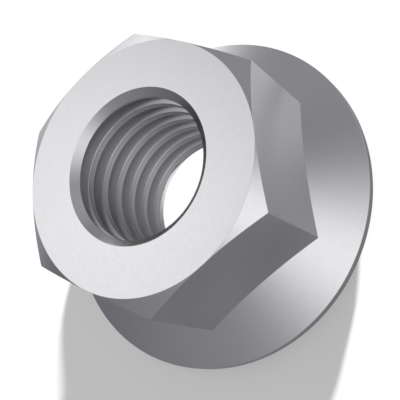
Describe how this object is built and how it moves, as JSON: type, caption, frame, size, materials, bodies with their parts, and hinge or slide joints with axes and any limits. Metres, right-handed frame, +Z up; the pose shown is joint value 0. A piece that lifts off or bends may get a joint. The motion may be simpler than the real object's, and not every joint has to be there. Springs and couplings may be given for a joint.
{
  "type": "hex flange nut",
  "caption": "Hexagon nut with a round sloping flange at its base, a metric right-hand thread through it and a countersink at each end of the bore.",
  "frame": {"origin": "middle of the flat bearing face under the flange, on the axis of the bore", "axes": "+Z up the bore, from the bearing face to the top of the hexagon; X through two opposite corners of the hexagon; Y square to two of its flats"},
  "size_m": [0.026, 0.026, 0.012],
  "materials": {
    "steel": "plain satin steel, no wear"
  },
  "bodies": {
    "root": {"flange_nut": "steel"}
  },
  "joints": []
}
